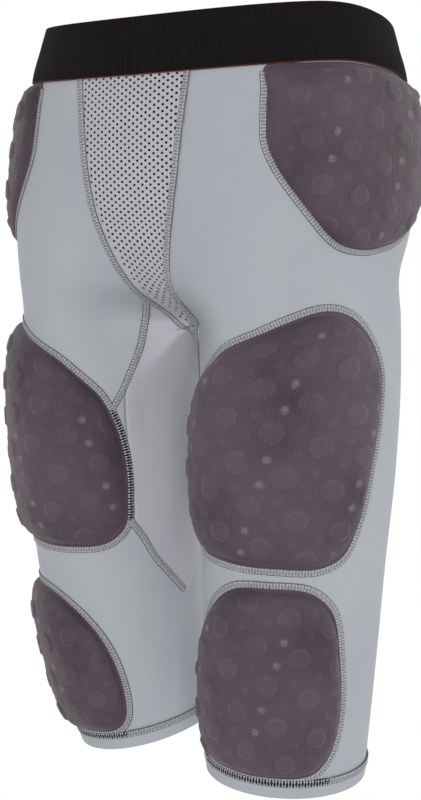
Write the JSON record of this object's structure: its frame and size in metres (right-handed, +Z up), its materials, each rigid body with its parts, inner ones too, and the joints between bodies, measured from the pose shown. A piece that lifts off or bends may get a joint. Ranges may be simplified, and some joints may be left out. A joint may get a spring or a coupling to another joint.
{
  "type": "padded sports girdle",
  "caption": "Knee-length compression girdle in its worn shape, with sewn-in hip, thigh and knee pads, a mesh front panel and a ribbed elastic waistband.",
  "frame": {"origin": "middle of the waist opening, half-way up the waistband", "axes": "+Z up, -Y the way the wearer faces, +X towards the wearer's left"},
  "size_m": [0.3517, 0.2226, 0.5999],
  "materials": {
    "grey_knit": "smooth satin compression knit",
    "inner_knit": "smooth satin compression knit, slightly mauve",
    "pierced_mesh": "light knit pierced all over with small oval holes",
    "pad_cover": "fine ribbed knit over foam that is moulded with round studs",
    "hem_band": "turned and stitched knit",
    "ribbed_elastic": "matt elastic with fine vertical ribs"
  },
  "bodies": {
    "root": {"waistband": "ribbed_elastic", "body_panel_left": "grey_knit", "body_panel_right": "grey_knit", "mesh_front_panel": "pierced_mesh", "inner_thigh_panel_left": "inner_knit", "inner_thigh_panel_right": "inner_knit", "hip_pad_left": "pad_cover", "hip_pad_right": "pad_cover", "thigh_pad_left": "pad_cover", "thigh_pad_right": "pad_cover", "knee_pad_left": "pad_cover", "knee_pad_right": "pad_cover", "leg_hem_left": "hem_band", "leg_hem_right": "hem_band"}
  },
  "joints": []
}
